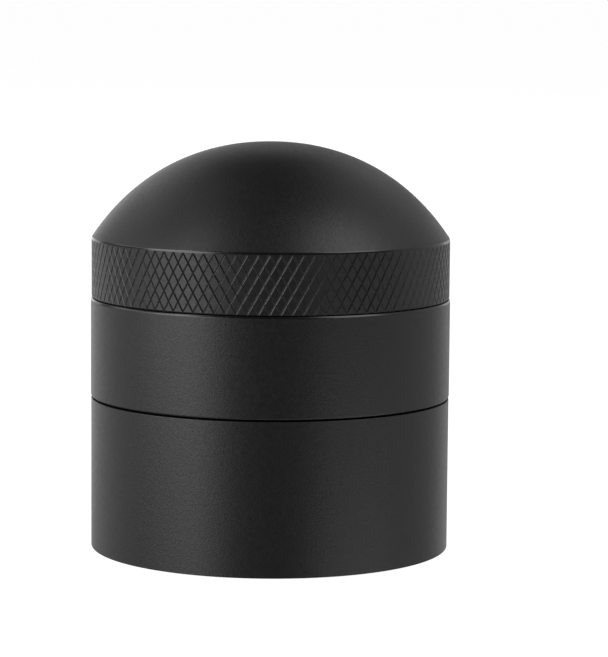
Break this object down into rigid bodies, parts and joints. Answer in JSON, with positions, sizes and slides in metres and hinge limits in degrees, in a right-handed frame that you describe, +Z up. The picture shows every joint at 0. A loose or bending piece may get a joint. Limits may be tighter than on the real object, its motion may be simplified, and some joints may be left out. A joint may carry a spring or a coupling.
{
  "type": "needle espresso tamper with storage base",
  "caption": "Palm tool for loosening and levelling ground coffee: a domed, knurled cap turns a plate of needles on a ball bearing in a collar, stored on a lift-off cup base.",
  "frame": {"origin": "centre of the base's underside, on the spin axis", "axes": "+Z up along the spin axis, +Y away from the viewer"},
  "size_m": [0.058, 0.058, 0.0657],
  "materials": {
    "black_anodised": "bead-blasted and black anodised, fine matt grain",
    "foot_rubber": "matt silicone rubber",
    "steel": "drawn stainless steel, satin",
    "bearing_steel": "ground and polished",
    "spring_steel": "phosphated spring steel",
    "cage_nylon": "moulded natural nylon"
  },
  "bodies": {
    "base": {"base_cup": "black_anodised", "base_foot_pad": "foot_rubber"},
    "ring": {"collar": "black_anodised", "locating_pin_1": "steel", "locating_pin_2": "steel", "locating_pin_3": "steel", "retaining_ring": "spring_steel", "bearing_outer_race": "bearing_steel", "bearing_shield_upper": "bearing_steel", "bearing_shield_lower": "bearing_steel"},
    "handle": {"handle_cap": "black_anodised", "bearing_inner_race": "bearing_steel", "needle_plate": "black_anodised", "plate_screw_1": "steel", "plate_screw_2": "steel", "plate_screw_3": "steel", "needle_01": "steel", "needle_02": "steel", "needle_03": "steel", "needle_04": "steel", "needle_05": "steel", "needle_06": "steel", "needle_07": "steel", "needle_08": "steel", "needle_09": "steel", "needle_10": "steel", "needle_11": "steel", "needle_12": "steel", "needle_13": "steel", "needle_14": "steel", "needle_15": "steel"},
    "cage": {"bearing_cage": "cage_nylon", "bearing_ball_01": "bearing_steel", "bearing_ball_02": "bearing_steel", "bearing_ball_03": "bearing_steel", "bearing_ball_04": "bearing_steel", "bearing_ball_05": "bearing_steel", "bearing_ball_06": "bearing_steel", "bearing_ball_07": "bearing_steel", "bearing_ball_08": "bearing_steel", "bearing_ball_09": "bearing_steel", "bearing_ball_10": "bearing_steel", "bearing_ball_11": "bearing_steel", "bearing_ball_12": "bearing_steel"}
  },
  "joints": [
    {"name": "lift_off", "type": "slide", "parent": "base", "child": "ring", "axis": [0, 0, 1], "range_m": [0, 0.035]},
    {"name": "handle_spin", "type": "hinge", "parent": "ring", "child": "handle", "pos_m": [0, 0, 0.0354], "axis": [0, 0, 1], "continuous": true},
    {"name": "cage_spin", "type": "hinge", "parent": "ring", "child": "cage", "pos_m": [0, 0, 0.0354], "axis": [0, 0, 1], "continuous": true}
  ],
  "couplings": [
    {"joint": "cage_spin", "follows": "handle_spin", "ratio": 0.4346}
  ]
}
